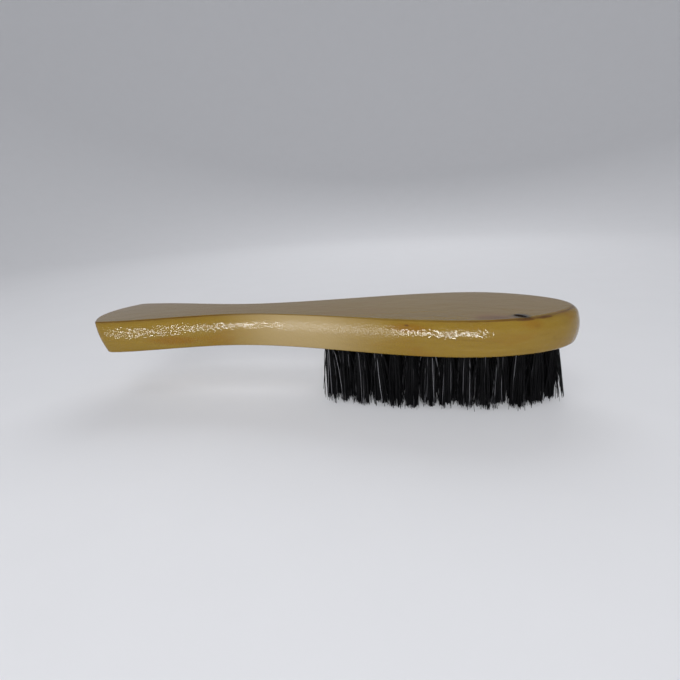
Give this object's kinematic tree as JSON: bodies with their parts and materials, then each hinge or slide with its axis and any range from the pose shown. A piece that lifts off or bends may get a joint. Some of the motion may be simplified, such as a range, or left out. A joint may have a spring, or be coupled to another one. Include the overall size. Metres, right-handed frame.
{
  "type": "clothes brush",
  "caption": "Wooden clothes brush with a fishtail handle, a narrow neck and an oval head filled with rows of black bristle tufts.",
  "frame": {"origin": "under the middle of the brush, on the plane of the trimmed bristle ends", "axes": "+X along the brush from the handle to the head, +Z out of the back of the brush, bristles pointing to -Z"},
  "size_m": [0.2392, 0.0604, 0.0435],
  "materials": {
    "varnished_wood": "pale yellow hardwood with a glossy clear varnish",
    "black_bristle": "stiff black bristle with a slight sheen",
    "anchor_wire": "plain drawn steel wire"
  },
  "bodies": {
    "root": {"wooden_body": "varnished_wood", "tuft_row_01": "black_bristle", "tuft_row_02": "black_bristle", "tuft_row_03": "black_bristle", "tuft_row_04": "black_bristle", "tuft_row_05": "black_bristle", "tuft_row_06": "black_bristle", "tuft_row_07": "black_bristle", "tuft_row_08": "black_bristle", "tuft_row_09": "black_bristle", "tuft_row_10": "black_bristle", "tuft_row_11": "black_bristle", "tuft_row_12": "black_bristle", "tuft_row_13": "black_bristle", "tuft_row_14": "black_bristle"}
  },
  "joints": []
}
